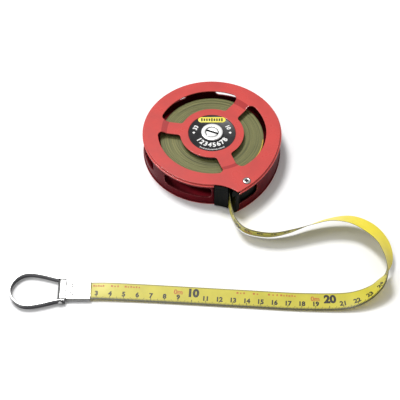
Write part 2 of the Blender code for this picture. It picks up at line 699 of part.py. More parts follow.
def make_free_tape(materials, axis):
    rows = smooth_route(TAPE_ROUTE, ROUTE_STEPS)
    tape = add_object("free_tape", ribbon(rows, TAPE_WIDTH, TAPE_THICKNESS), materials["yellow"], axis)
    for index, side in enumerate((-RIVET_SPREAD, RIVET_SPREAD)):
        hole = rod(RIVET_HOLE, 0, 6, 16, (RIVET_X, END_Y + side))
        cut(tape, f"tape_rivet_cut_{index + 1}", hole, axis)


def make_ferrule(materials, axis):
    end = FERRULE_START - FERRULE_LENGTH
    half = FERRULE_WIDTH / 2
    clear = TAPE_THICKNESS / 2 + GAP
    lows = {"bottom": TAPE_END_Z - clear - PLATE_THICKNESS, "top": TAPE_END_Z + clear}
    for name, low in lows.items():
        shape = box((end, END_Y - half, low), (FERRULE_START, END_Y + half, low + PLATE_THICKNESS))
        plate = add_object(f"ferrule_{name}_plate", shape, materials["nickel"], axis)
        for index, side in enumerate((-RIVET_SPREAD, RIVET_SPREAD)):
            hole = rod(RIVET_HOLE, 0, 8, 16, (RIVET_X, END_Y + side))
            cut(plate, f"ferrule_{name}_rivet_cut_{index + 1}", hole, axis)
    head = lows["top"] + PLATE_THICKNESS + GAP
    top = head + RIVET_HEAD_THICKNESS
    rivet = (
        (0, GAP), (RIVET_SHANK, GAP), (RIVET_SHANK, head), (RIVET_HEAD, head),
        (RIVET_HEAD - 0.4, top - 0.1), (0, top),
    )
    for index, side in enumerate((-RIVET_SPREAD, RIVET_SPREAD)):
        place = (RIVET_X, END_Y + side)
        add_object(f"ferrule_rivet_{index + 1}", turned(rivet, 16, place), materials["nickel"], axis)


def make_hinge(materials, axis):
    # The clip, its pin and the loop are drawn round the pin.
    hinge = add_empty("loop_hinge", (PIN_X, END_Y, PIN_Z), axis)
    half = CLIP_WIDTH / 2
    shape = lay_along_y(rod(CLIP_RADIUS, -half, half, 24), (0, 0, 0))
    clip = add_object("hinge_clip", shape, materials["nickel"], hinge)
    tail = box((0, -half, CLIP_RADIUS - CLIP_TAIL), (CLIP_START - PIN_X, half, CLIP_RADIUS))
    join(clip, "clip_tail_shape", tail, hinge)
    bore = lay_along_y(rod(PIN_RADIUS + GAP, -half - 2, half + 2, 16), (0, 0, 0))
    cut(clip, "clip_bore_cut", bore, hinge)
    reach = PIN_LENGTH / 2
    shank = reach - PIN_HEAD_THICKNESS
    profile = (
        (0, -reach), (PIN_HEAD, -reach), (PIN_HEAD, -shank), (PIN_RADIUS, -shank),
        (PIN_RADIUS, shank), (PIN_HEAD, shank), (PIN_HEAD, reach), (0, reach),
    )
    add_object("loop_pin", lay_along_y(turned(profile, 16), (0, 0, 0)), materials["nickel"], hinge)
    make_loop(materials, hinge)


def make_loop(materials, hinge):
    # A strip on edge, bent to a teardrop, with an eye in each end for the pin.
    side = (
        (3.2, 9.2, 0, 0), (-3.0, 9.4, 0, 0), (-12.8, 12.2, 0, 0), (-21.7, 13.9, 0, 0),
        (-28.6, 13.1, 0, 0), (-33.9, 9.2, 0, 0), (-36.6, 4.4, 0, 0),
    )
    turn = ((-37.4, 0, 0, 0),)
    back = tuple((x, -y, z, lean) for x, y, z, lean in reversed(side))
    rows = smooth_route(side + turn + back, 3)
    loop = add_object("end_loop", ribbon(rows, LOOP_HEIGHT, LOOP_THICKNESS), materials["nickel"], hinge)
    cut(loop, "loop_eye_cut", lay_along_y(rod(PIN_RADIUS + GAP, -14, 14, 16), (0, 0, 0)), hinge)


def build():
    clear_scene()
    axis = add_empty("hub_axis", (0, HUB_Y, 0), None)
    red = make_material("red_lacquer", (0.62, 0.035, 0.04), 0.32, 0.0)
    materials = {
        "black": make_material("black_plastic", (0.012, 0.013, 0.014), 0.45, 0.0),
        "nickel": make_material("bright_nickel", (0.78, 0.77, 0.75), 0.2, 1.0),
        "steel": make_material("plain_steel", (0.5, 0.5, 0.5), 0.35, 1.0),
        "brass": make_material("bearing_brass", (0.65, 0.47, 0.2), 0.35, 1.0),
        "olive": make_material("tape_edge_olive", (0.2, 0.21, 0.09), 0.5, 0.0),
        "yellow": make_material("tape_yellow", (0.85, 0.7, 0.12), 0.4, 0.0),
    }
    make_cheek("front_cheek", red, axis, False)
    make_cheek("rear_cheek", red, axis, True)
    make_rim_wall(red, axis)
    make_mouth_guides(materials["black"], axis)
    make_eyelet(materials["nickel"], axis)
    make_front_fittings(materials, axis)
    make_spindle(materials, axis)
    make_reel(materials, axis)
    make_crank_dish(materials, axis)
    make_crank(materials, axis)
    make_knob(materials, axis)
    make_free_tape(materials, axis)
    make_ferrule(materials, axis)
    make_hinge(materials, axis)


build()
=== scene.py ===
import math
import random

import bpy
from mathutils import Matrix, Vector


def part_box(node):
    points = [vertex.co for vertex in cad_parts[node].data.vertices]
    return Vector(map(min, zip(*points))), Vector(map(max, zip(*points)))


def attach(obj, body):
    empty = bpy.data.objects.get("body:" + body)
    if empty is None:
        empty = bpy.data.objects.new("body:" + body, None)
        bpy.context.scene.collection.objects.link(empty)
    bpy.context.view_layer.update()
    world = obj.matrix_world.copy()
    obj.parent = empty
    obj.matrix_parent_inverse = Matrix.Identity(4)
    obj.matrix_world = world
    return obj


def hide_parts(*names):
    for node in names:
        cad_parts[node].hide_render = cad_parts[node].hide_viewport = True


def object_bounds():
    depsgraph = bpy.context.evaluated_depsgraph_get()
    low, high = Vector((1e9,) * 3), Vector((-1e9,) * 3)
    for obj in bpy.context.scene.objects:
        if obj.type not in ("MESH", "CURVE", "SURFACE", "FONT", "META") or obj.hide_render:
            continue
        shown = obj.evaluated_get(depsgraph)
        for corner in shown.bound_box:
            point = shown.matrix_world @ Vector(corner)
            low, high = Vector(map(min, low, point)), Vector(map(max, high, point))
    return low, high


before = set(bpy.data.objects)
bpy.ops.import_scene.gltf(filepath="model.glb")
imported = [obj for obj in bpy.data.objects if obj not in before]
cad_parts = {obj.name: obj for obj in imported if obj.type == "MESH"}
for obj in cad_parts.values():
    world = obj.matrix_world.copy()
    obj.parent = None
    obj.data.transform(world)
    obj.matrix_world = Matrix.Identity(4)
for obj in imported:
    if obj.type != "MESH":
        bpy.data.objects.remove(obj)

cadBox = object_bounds()
mm = 0.001
hubY = 4.5  # mm that the hub axis stands behind the middle of the frame
random.seed(7)


studio = {
    "target": (-0.0095, -0.0465, 0.0),
    "distance": 0.91,
    "elevation": 52.4,
    "lens": 105.2,
    "floorColour": (0.93, 0.93, 0.935, 1.0),
    "skyHigh": (1.0, 1.0, 1.0, 1.0),
    "skyLow": (0.03, 0.03, 0.032, 1.0),
    "skyStrength": 0.58,
    "keyPlace": (-0.42, 0.56, 1.56),
    "keySize": 0.5,
    "keyPower": 23.0,
    "fillPlace": (-0.9, -0.2, 1.3),
    "fillSize": 0.6,
    "fillPower": 4.0,
}


def aim(thing, place, target):
    thing.location = place
    thing.rotation_euler = (Vector(target) - Vector(place)).to_track_quat("-Z", "Y").to_euler()


def addCamera():
    rise = math.radians(studio["elevation"])
    away = Vector((0, -math.cos(rise), math.sin(rise))) * studio["distance"]
    place = Vector(studio["target"]) + away
    data = bpy.data.cameras.new("view_camera")
    camera = bpy.data.objects.new("view_camera", data)
    bpy.context.scene.collection.objects.link(camera)
    data.lens = studio["lens"]
    data.sensor_width = 36
    data.clip_start = 0.05
    data.clip_end = 20
    aim(camera, place, studio["target"])
    bpy.context.scene.camera = camera


def addSoftbox(name, place, size, power):
    data = bpy.data.lights.new(name, "AREA")
    data.shape = "DISK"
    data.size = size
    data.energy = power
    light = bpy.data.objects.new(name, data)
    bpy.context.scene.collection.objects.link(light)
    aim(light, place, studio["target"])


def addStudio():
    addSoftbox("key_softbox", studio["keyPlace"], studio["keySize"], studio["keyPower"])
    addSoftbox("fill_softbox", studio["fillPlace"], studio["fillSize"], studio["fillPower"])
    world = bpy.data.worlds.new("studio_sky")
    bpy.context.scene.world = world
    world.use_nodes = True
    sky = world.node_tree.nodes["Background"]
    sky.inputs["Strength"].default_value = studio["skyStrength"]
    where = world.node_tree.nodes.new("ShaderNodeTexCoord")
    rise = Wire(world.node_tree, where.outputs["Generated"]).axis(2).ramp(0.20, 0.80)
    tint = rise.blend(rise, studio["skyLow"], studio["skyHigh"])
    world.node_tree.links.new(tint.socket, sky.inputs["Color"])
    bpy.context.scene.view_settings.view_transform = "Standard"
    clearSelection()
    bpy.ops.mesh.primitive_plane_add(size=8, location=(0, 0, cadBox[0][2] - 0.0001))
    floor = bpy.context.object
    floor.name = "studio_floor"
    paper = bpy.data.materials.new("studio_paper")
    paper.use_nodes = True
    shader = paper.node_tree.nodes["Principled BSDF"]
    shader.inputs["Base Color"].default_value = studio["floorColour"]
    shader.inputs["Roughness"].default_value = 0.9
    shader.inputs["Specular IOR Level"].default_value = 0.1
    floor.data.materials.append(paper)


def clearSelection():
    if bpy.context.mode != "OBJECT":
        bpy.ops.object.mode_set(mode="OBJECT")
    bpy.ops.object.select_all(action="DESELECT")


def takeUp(piece):
    clearSelection()
    piece.select_set(True)
    bpy.context.view_layer.objects.active = piece


def openMesh(piece, action="SELECT"):
    takeUp(piece)
    bpy.ops.object.mode_set(mode="EDIT")
    bpy.ops.mesh.select_mode(type="VERT")
    bpy.ops.mesh.select_all(action=action)


def closeMesh():
    bpy.ops.object.mode_set(mode="OBJECT")


def applyModifiers(piece):
    takeUp(piece)
    for modifier in list(piece.modifiers):
        bpy.ops.object.modifier_apply(modifier=modifier.name)


def smoothen(piece, angle=35):
    takeUp(piece)
    bpy.ops.object.shade_smooth_by_angle(angle=math.radians(angle))


def evenShading(piece):
    # broad flat faces keep their own direction beside the small rounded ones
    evening = piece.modifiers.new("even_shading", "WEIGHTED_NORMAL")
    evening.mode = "FACE_AREA"
    evening.weight = 90
    evening.keep_sharp = True
    applyModifiers(piece)


def cleanUp(piece):
    openMesh(piece)
    bpy.ops.mesh.remove_doubles(threshold=0.0000005)
    bpy.ops.mesh.delete_loose()
    bpy.ops.mesh.select_all(action="SELECT")
    bpy.ops.mesh.normals_make_consistent(inside=False)
    closeMesh()


def settle(piece):
    takeUp(piece)
    bpy.ops.object.transform_apply(location=True, rotation=True, scale=True)


def softenEdges(piece, width, segments=2, angle=32):
    rounding = piece.modifiers.new("rounded_edges", "BEVEL")
    rounding.width = width * mm
    rounding.segments = segments
    rounding.limit_method = "ANGLE"
    rounding.angle_limit = math.radians(angle)
    rounding.use_clamp_overlap = False
    applyModifiers(piece)


edgeMarkLook = {
    "broadFace": 3.0,  # mm2 from which a face gets no edge mark up to its edge
    "gain": 6.0,
}


def markWear(piece):
    # how far each vertex lies on a bent edge, for the worn edges of a finish and the highlights painted on
    # them
    mesh = piece.data
    edgeMask = mesh.attributes.new("edge_wear_and_highlight", "FLOAT", "POINT")
    spread = [0.0] * len(mesh.vertices)
    for face in mesh.polygons:
        for index in face.vertices:
            turn = 1.0 - mesh.vertices[index].normal.dot(face.normal)
            spread[index] = max(spread[index], turn)
    for face in mesh.polygons:
        if face.area > edgeMarkLook["broadFace"] * mm * mm:
            for index in face.vertices:
                spread[index] = 0.0
    for index, value in enumerate(spread):
        edgeMask.data[index].value = min(1.0, value * edgeMarkLook["gain"])


def joinAll(first, others):
    takeUp(first)
    for other in others:
        other.select_set(True)
    bpy.ops.object.join()
    return first


def heights(node):
    low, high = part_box(node)
    return low.z / mm, high.z / mm


def dress(piece, body, slotName, *materials):
    piece.data.materials.clear()
    for material in materials:
        piece.data.materials.append(material)
    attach(piece, body)


def softCopy(node, name, width, segments=2, angle=32, sharp=40):
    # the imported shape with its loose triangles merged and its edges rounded
    piece = bpy.data.objects.new(name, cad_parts[node].data.copy())
    bpy.context.scene.collection.objects.link(piece)
    openMesh(piece)
    bpy.ops.mesh.remove_doubles(threshold=0.0000005)
    bpy.ops.mesh.dissolve_limited(angle_limit=math.radians(0.6))
    closeMesh()
    softenEdges(piece, width, segments, angle)
    smoothen(piece, sharp)
    markWear(piece)
    evenShading(piece)
    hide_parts(node)
    return piece


def turnedPiece(name, profile, steps=96, centre=(0.0, 0.0), rounding=0.0, segments=2):
    # a closed profile, (radius, height) in mm, spun round an upright axis
    clearSelection()
    bpy.ops.mesh.primitive_circle_add(vertices=len(profile), radius=mm, fill_type="NOTHING")
    piece = bpy.context.object
    piece.name = name
    across, back = centre[0] * mm, (centre[1] + hubY) * mm
    for vertex, (radius, height) in zip(piece.data.vertices, profile):
        vertex.co = (across + radius * mm, back, height * mm)
    openMesh(piece)
    bpy.ops.mesh.spin(steps=steps, angle=2 * math.pi, center=(across, back, 0), axis=(0, 0, 1))
    closeMesh()
    cleanUp(piece)
    if rounding:
        softenEdges(piece, rounding, segments)
    smoothen(piece)
    markWear(piece)
    return piece


class Wire:
    # one value on its way through a material's nodes
    def __init__(self, tree, socket):
        self.tree = tree
        self.socket = socket

    def node(self, kind, settings=None, sockets=None, output=0):
        made = self.tree.nodes.new(kind)
        for name, value in (settings or {}).items():
            setattr(made, name, value)
        for name, value in (sockets or {}).items():
            if isinstance(value, Wire):
                self.tree.links.new(value.socket, made.inputs[name])
            else:
                made.inputs[name].default_value = value
        return Wire(self.tree, made.outputs[output])

    def maths(self, operation, first, second=0.0, clamp=False):
        settings = {"operation": operation, "use_clamp": clamp}
        return self.node("ShaderNodeMath", settings, {0: first, 1: second})

    def __add__(self, other):
        return self.maths("ADD", self, other)

    def __radd__(self, other):
        return self.maths("ADD", other, self)

    def __sub__(self, other):
        return self.maths("SUBTRACT", self, other)

    def __rsub__(self, other):
        return self.maths("SUBTRACT", other, self)

    def __mul__(self, other):
        return self.maths("MULTIPLY", self, other)

    def __rmul__(self, other):
        return self.maths("MULTIPLY", other, self)

    def __truediv__(self, other):
        return self.maths("DIVIDE", self, other)

    def clamp(self):
        return self.maths("ADD", self, 0.0, True)

    def ramp(self, low, high, start=0.0, end=1.0):
        sockets = {"Value": self, "From Min": low, "From Max": high, "To Min": start, "To Max": end}
        return self.node("ShaderNodeMapRange", {"clamp": True}, sockets)

    def axis(self, index):
        return self.node("ShaderNodeSeparateXYZ", None, {0: self}, index)

    def stretch(self, scale):
        return self.node("ShaderNodeMapping", None, {"Vector": self, "Scale": scale})

    def noise(self, scale, detail=3.0, roughness=0.55):
        sockets = {"Vector": self, "Scale": scale, "Detail": detail, "Roughness": roughness}
        return self.node("ShaderNodeTexNoise", None, sockets)

    def blend(self, factor, first, second):
        made = self.tree.nodes.new("ShaderNodeMix")
        made.data_type = "RGBA"
        for place, value in ((0, factor), (6, first), (7, second)):
            if isinstance(value, Wire):
                self.tree.links.new(value.socket, made.inputs[place])
            else:
                made.inputs[place].default_value = value
        return Wire(self.tree, made.outputs[2])


def colour(red, green, blue):
    return (red, green, blue, 1.0)


def startFinish(name, constants):
    finish = bpy.data.materials.new(name)
    finish.use_nodes = True
    tree = finish.node_tree
    shader = tree.nodes["Principled BSDF"]
    for socket, value in constants.items():
        shader.inputs[socket].default_value = value
    where = tree.nodes.new("ShaderNodeTexCoord")
    return finish, Wire(tree, where.outputs["Object"]), shader


def endFinish(start, shader, wires):
    for socket, value in wires.items():
        start.tree.links.new(value.socket, shader.inputs[socket])


def bump(height, strength, distance):
    sockets = {"Height": height, "Strength": strength, "Distance": distance}
    return height.node("ShaderNodeBump", None, sockets)


def wearOf(start):
    return start.node("ShaderNodeAttribute", {"attribute_name": "edge_wear_and_highlight"}, None, 2)


lacquer = {
    "red": colour(0.595, 0.062, 0.053),
    "deep": colour(0.50, 0.046, 0.040),
    # pale pinks for rounded edges: painted highlights, broken up like wear
    "edge": colour(0.90, 0.36, 0.33),
    # the case's red lacquer painted darker as shade, for the side wall and the cheeks' inner faces
    "wallShadedRed": colour(0.150, 0.006, 0.012),
    "wallShadedDeep": colour(0.085, 0.003, 0.007),
    "wallEdgeHighlight": colour(0.80, 0.30, 0.30),
    # the case's red lacquer painted darker as shade, for the ramps at the spokes
    "rampShadedRed": colour(0.40, 0.026, 0.026),
    "rampShadedDeep": colour(0.34, 0.020, 0.020),
    "roughness": 0.30,
    "coat": 0.3,
    "gloss": 0.4,
    "wallCoat": 0.0,
    "wallGloss": 0.03,
}


def lacquerFinish(name, face, deep, edge, coat, gloss):
    constants = {"Coat Weight": coat, "Coat Roughness": 0.08, "Specular IOR Level": gloss}
    finish, start, shader = startFinish(name, constants)
    cloud = start.noise(55.0, 3.0)
    grain = start.noise(2600.0, 2.0)
    scuffs = start.stretch((900.0, 120.0, 300.0)).noise(1.0, 4.0, 0.7).ramp(0.62, 0.74)
    edgeMask = (wearOf(start) * (start.noise(700.0, 3.0).ramp(0.30, 0.62, 0.25, 1.0))).clamp()
    tint = start.blend(cloud.ramp(0.35, 0.65), face, deep)
    # pink on the rounded edges: a painted highlight, broken up by noise like wear
    tint = start.blend(edgeMask * 0.75, tint, edge)
    middle = lacquer["roughness"]
    wires = {
        "Base Color": tint,
        "Roughness": cloud.ramp(0.3, 0.7, middle - 0.06, middle + 0.06) + scuffs * 0.12,
        "Normal": bump(grain * 0.5 + start.noise(420.0, 2.0), 0.22, 0.00006),
    }
    endFinish(start, shader, wires)
    return finish


plastics = {
    # base, shine, roughness, gloss
    "guide_plastic": (colour(0.0015, 0.0022, 0.0018), colour(0.008, 0.011, 0.009), 0.40, 0.06),
    "knob_plastic": (colour(0.014, 0.014, 0.015), colour(0.06, 0.06, 0.06), 0.30, 0.4),
    "label_enamel": (colour(0.022, 0.022, 0.024), colour(0.06, 0.06, 0.062), 0.34, 0.2),
}


def plasticFinish(name):
    base, shine, roughness, gloss = plastics[name]
    finish, start, shader = startFinish(name, {"Specular IOR Level": gloss})
    cloud = start.noise(180.0, 3.0)
    pebble = start.node("ShaderNodeTexVoronoi", None, {"Vector": start, "Scale": 2600.0})
    edgeMask = (wearOf(start) * start.noise(900.0, 3.0).ramp(0.35, 0.65)).clamp()
    wires = {
        "Base Color": start.blend(edgeMask * 0.5 + cloud.ramp(0.4, 0.8) * 0.3, base, shine),
        "Roughness": cloud.ramp(0.3, 0.7, roughness - 0.06, roughness + 0.08),
        "Normal": bump(pebble * 0.5 + start.noise(1300.0, 3.0), 0.25, 0.00005),
    }
    endFinish(start, shader, wires)
    return finish


metals = {
    # base, shade, roughness, stretch of the brushing, its depth, metallic
    "bright_nickel_plate": (
        colour(0.50, 0.50, 0.495), colour(0.36, 0.36, 0.355), 0.22, (240.0, 900.0, 240.0), 0.12, 0.9),
    "axle_nickel": (
        colour(0.95, 0.95, 0.94), colour(0.80, 0.80, 0.79), 0.30, (200.0, 200.0, 200.0), 0.02, 0.5),
    # a darkened nickel: painted shade for the loop's upright sides
    "loop_nickel_painted_shade": (
        colour(0.12, 0.12, 0.125), colour(0.07, 0.07, 0.075), 0.14, (300.0, 300.0, 300.0), 0.08, 1.0),
    "plain_steel_sheet": (
        colour(0.55, 0.55, 0.54), colour(0.38, 0.38, 0.37), 0.32, (700.0, 160.0, 300.0), 0.18, 1.0),
    "bearing_brass": (
        colour(0.70, 0.50, 0.20), colour(0.50, 0.34, 0.12), 0.28, (500.0, 500.0, 120.0), 0.15, 1.0),
}


def metalFinish(name):
    base, shade, roughness, stretch, brushing, metallic = metals[name]
    finish, start, shader = startFinish(name, {"Metallic": metallic})
    cloud = start.noise(90.0, 3.0)
    brushed = start.stretch(stretch).noise(1.0, 5.0, 0.65)
    pits = start.noise(1800.0, 2.0).ramp(0.66, 0.76)
    edgeMask = wearOf(start) * start.noise(600.0, 2.0).ramp(0.35, 0.6)
    wires = {
        "Base Color": start.blend((cloud.ramp(0.4, 0.75) * 0.5 + pits * 0.5).clamp(), base, shade),
        "Roughness": brushed.ramp(0.3, 0.7, roughness - 0.05, roughness + 0.09) + edgeMask * 0.06,
        "Normal": bump(brushed - pits * 0.4, brushing, 0.00004),
    }
    endFinish(start, shader, wires)
    return finish


tapeInk = {
    "face": colour(0.60, 0.535, 0.055),
    "faceAged": colour(0.52, 0.46, 0.045),
    "back": colour(0.88, 0.74, 0.055),
    "backAged": colour(0.80, 0.66, 0.05),
    "edge": colour(0.075, 0.068, 0.018),
    "black": colour(0.010, 0.010, 0.009),
    "orange": colour(0.46, 0.13, 0.018),
    # mm width of the dark edge lines, a printed border that also stands in as painted shade
    "rimLine": 0.7,
    "roughness": 0.40,
}


def tapeFinish(name, base, aged, lined):
    constants = {"Coat Weight": 0.1, "Coat Roughness": 0.2, "Specular IOR Level": 0.3}
    finish, start, shader = startFinish(name, constants)
    run = start.node("ShaderNodeUVMap", {"uv_map": "tape_run"}, None)
    across = run.axis(1)
    cloud = start.noise(75.0, 3.0)
    specks = run.stretch((70.0, 18.0, 1.0)).noise(6.0, 4.0, 0.7).ramp(0.60, 0.72)
    rub = run.stretch((3.0, 60.0, 1.0)).noise(4.0, 4.0, 0.6)
    tint = start.blend(cloud.ramp(0.35, 0.7), base, aged)
    tint = start.blend(specks * (0.30 if lined else 0.12), tint, tapeInk["edge"])
    if lined:
        # dark lines along both edges: a printed border, made darker and wider as painted shade for the shadow
        # along the strip's lower edge
        rim = tapeInk["rimLine"] / tapeStrip["width"]
        low = across.ramp(rim * 1.6, rim * 2.2, 1.0, 0.0)
        high = across.ramp(1.0 - rim * 1.3, 1.0 - rim * 0.7)
        tint = start.blend((low + high * 0.7).clamp(), tint, tapeInk["edge"])
    wires = {
        "Base Color": tint,
        "Roughness": rub.ramp(0.3, 0.7, tapeInk["roughness"] - 0.08, tapeInk["roughness"] + 0.12),
        "Normal": bump(rub + start.noise(1500.0, 2.0) * 0.4, 0.12, 0.00003),
    }
    endFinish(start, shader, wires)
    return finish


def inkFinish(name, base, faded):
    finish, start, shader = startFinish(name, {"Specular IOR Level": 0.4})
    flecks = start.noise(1900.0, 3.0, 0.7)
    wires = {
        "Base Color": start.blend(flecks.ramp(0.52, 0.72), base, faded),
        "Roughness": flecks.ramp(0.3, 0.7, 0.35, 0.55),
        "Normal": bump(flecks, 0.15, 0.00002),
    }
    endFinish(start, shader, wires)
    return finish


coilLook = {
    "olive": colour(0.128, 0.138, 0.050),
    "pale": colour(0.28, 0.265, 0.100),
    "dark": colour(0.030, 0.034, 0.013),
    "layers": 58,
    "steps": 168,
    "inner": 23.6,
    "outer": 40.9,
    "unevenness": 0.22,
    "leaves": -30.0,
    "leavesSpan": 26.0,
    "leavingTurns": 2.6,
}


def coilFinish():
    finish, start, shader = startFinish("coil_edges", {"Specular IOR Level": 0.4})
    across = start.axis(0)
    back = start.axis(1) - hubY * mm
    radius = start.maths("SQRT", across * across + back * back)
    turnAngle = start.maths("ARCTAN2", back, across)
    rings = start.node("ShaderNodeCombineXYZ", None, {0: radius * 1000.0, 1: turnAngle * 0.7, 2: 0.0})
    fine = rings.stretch((3.1, 0.8, 1.0)).noise(1.0, 4.0, 0.7)
    broad = rings.stretch((0.75, 0.5, 1.0)).noise(1.0, 3.0, 0.6)
    dust = start.noise(1500.0, 3.0, 0.7)
    tint = start.blend(fine.ramp(0.42, 0.62), coilLook["olive"], coilLook["pale"])
    tint = start.blend(broad.ramp(0.50, 0.72) * 0.8, tint, coilLook["dark"])
    tint = start.blend(dust.ramp(0.62, 0.8) * 0.4, tint, coilLook["pale"])
    wires = {
        "Base Color": tint,
        "Roughness": fine.ramp(0.3, 0.7, 0.42, 0.62),
        "Normal": bump(fine + dust * 0.3, 0.4, 0.0001),
    }
    endFinish(start, shader, wires)
    return finish


def makeFinishes():
    coat, gloss, edge = lacquer["coat"], lacquer["gloss"], lacquer["edge"]
    wallCoat, wallGloss, wallEdgeHighlight = lacquer["wallCoat"], lacquer["wallGloss"], lacquer["wallEdgeHighlight"]
    return {
        "red": lacquerFinish("case_lacquer", lacquer["red"], lacquer["deep"], edge, coat, gloss),
        "wall": lacquerFinish(
            "wall_shaded_lacquer", lacquer["wallShadedRed"], lacquer["wallShadedDeep"], wallEdgeHighlight, wallCoat, wallGloss),
        "ramp": lacquerFinish("ramp_shaded_lacquer", lacquer["rampShadedRed"], lacquer["rampShadedDeep"], edge, coat, gloss),
        "black": plasticFinish("guide_plastic"),
        "knob": plasticFinish("knob_plastic"),
        "label": plasticFinish("label_enamel"),
        "nickel": metalFinish("bright_nickel_plate"),
        "axle": metalFinish("axle_nickel"),
        "loop": metalFinish("loop_nickel_painted_shade"),
        "steel": metalFinish("plain_steel_sheet"),
        "brass": metalFinish("bearing_brass"),
        "coil": coilFinish(),
        "coilRim": inkFinish("coil_outer_turn", colour(0.62, 0.42, 0.05), colour(0.30, 0.26, 0.06)),
        "printed": tapeFinish("tape_printed_face", tapeInk["face"], tapeInk["faceAged"], True),
        "plain": tapeFinish("tape_plain_back", tapeInk["back"], tapeInk["backAged"], False),
        "tapeEdge": inkFinish("tape_cut_edge", tapeInk["edge"], colour(0.28, 0.24, 0.06)),
        "inkBlack": inkFinish("scale_black", tapeInk["black"], colour(0.12, 0.10, 0.03)),
        "inkOrange": inkFinish("scale_orange", tapeInk["orange"], colour(0.70, 0.30, 0.05)),
        "white": inkFinish("label_white", colour(0.90, 0.90, 0.88), colour(0.62, 0.62, 0.60)),
        "pill": inkFinish("label_yellow", colour(0.86, 0.76, 0.10), colour(0.74, 0.64, 0.10)),
    }


tapeRoute = (
    (0.0364, -0.0155, 0.0095, 0), (0.0330, -0.0207, 0.0095, 0), (0.0270, -0.0287, 0.0096, 0),
    (0.0206, -0.0367, 0.0100, 0), (0.0156, -0.0417, 0.0105, -2), (0.0131, -0.0471, 0.0108, -3),
    (0.0130, -0.0567, 0.0103, -2), (0.0149, -0.0662, 0.0093, 2), (0.0193, -0.0761, 0.0082, 11),
    (0.0275, -0.0825, 0.0075, 19), (0.0433, -0.0856, 0.0076, 22), (0.0589, -0.0830, 0.0087, 25),
    (0.0747, -0.0776, 0.0099, 34), (0.0890, -0.0741, 0.0117, 43), (0.1048, -0.0747, 0.0125, 60),
    (0.1179, -0.0825, 0.0127, 66), (0.1266, -0.0947, 0.0128, 55), (0.1292, -0.1074, 0.0125, 38),
    (0.1278, -0.1175, 0.0120, 10), (0.1249, -0.1255, 0.0103, -26), (0.1188, -0.1328, 0.0072, -52),
    (0.1076, -0.1389, 0.0044, -76), (0.0929, -0.1416, 0.0026, -92), (0.0625, -0.1413, 0.0020, -95),
    (0.0292, -0.1392, 0.0019, -96), (-0.0051, -0.1369, 0.0019, -96), (-0.0443, -0.1344, 0.0021, -97),
    (-0.0738, -0.1329, 0.0025, -96), (-0.0885, -0.1325, 0.0025, -92), (-0.1066, -0.1325, 0.0024, -90),
)
tapeStrip = {
    "width": 14.0,
    "thickness": 0.3,
    "steps": 12,
    "across": 6,
    "mouth": (0.0206, -0.0367, 0.0100),
    "hiddenEnd": 8.6,  # mm of the scale from its zero to the strip's end in the ferrule
    "firstMark": 26.0,
    "digitHeight": 3.6,
    "digitPlace": 3.5,
    "digitBold": 0.24,
    "tenHeight": 6.2,
    "tenPlace": 6.2,
    "tenShift": 0.6,
    "tenBold": 0.50,
    "unitHeight": 3.7,
    "unitPlace": 7.6,
    "unitBold": 0.18,
    "unitBefore": 10.2,  # mm that the unit stands before its ten
    "cutStep": 1.2,
    "tickWidth": 0.34,
    "tickLengths": (2.2, 2.9, 3.6),
    "inkLift": 0.02,
    "dashPlace": 10.6,
    "dashRows": (  # reading of the first dash, how many, gap
        (28.0, 5, 1.7), (41.0, 3, 2.2), (51.0, 6, 2.0), (133.0, 3, 2.4),
        (145.0, 2, 2.6), (156.0, 3, 3.0), (165.0, 6, 2.0),
    ),
}


def smoothRoute(points, steps):
    rows = [Vector(point) for point in points]
    ends = [rows[0] * 2 - rows[1]] + rows + [rows[-1] * 2 - rows[-2]]
    curve = []
    for index in range(len(rows) - 1):
        a, b, c, d = ends[index:index + 4]
        for step in range(steps):
            t = step / steps
            point = b * 2 + (c - a) * t + (a * 2 - b * 5 + c * 4 - d) * t ** 2
            curve.append((point + (b * 3 - a - c * 3 + d) * t ** 3) / 2)
    curve.append(rows[-1])
    return curve


def stripFrames(rows):
    # centre, way up and face direction at each row of the strip
    frames = []
    for index, row in enumerate(rows):
        before, after = rows[max(index - 1, 0)], rows[min(index + 1, len(rows) - 1)]
        along = Vector((after - before)[:3]).normalized()
        right = along.cross(Vector((0, 0, 1))).normalized()
        upright = right.cross(along)
        lean = math.radians(row[3])
        up = upright * math.cos(lean) + right * math.sin(lean)
        frames.append((Vector(row[:3]), up, along.cross(up)))
    return frames


class Strip:
    # the laid strip, measured along from its hidden end and across from its scale edge
    def __init__(self, rows):
        self.frames = stripFrames(rows)
        lengths = [0.0]
        for (first, _, _), (second, _, _) in zip(self.frames, self.frames[1:]):
            lengths.append(lengths[-1] + (second - first).length / mm)
        self.total = lengths[-1]
        self.scale = [tapeStrip["hiddenEnd"] + self.total - length for length in lengths]

    def place(self, along, across, lift):
        scale = self.scale
        low, high = 0, len(scale) - 1
        while high - low > 1:
            middle = (low + high) // 2
            if scale[middle] > along:
                low = middle
            else:
                high = middle
        share = (scale[low] - along) / (scale[low] - scale[high])
        parts = [a.lerp(b, share) for a, b in zip(self.frames[low], self.frames[high])]
        rise = tapeStrip["width"] / 2 - across
        return parts[0] + parts[1] * (rise * mm) + parts[2] * (lift * mm)


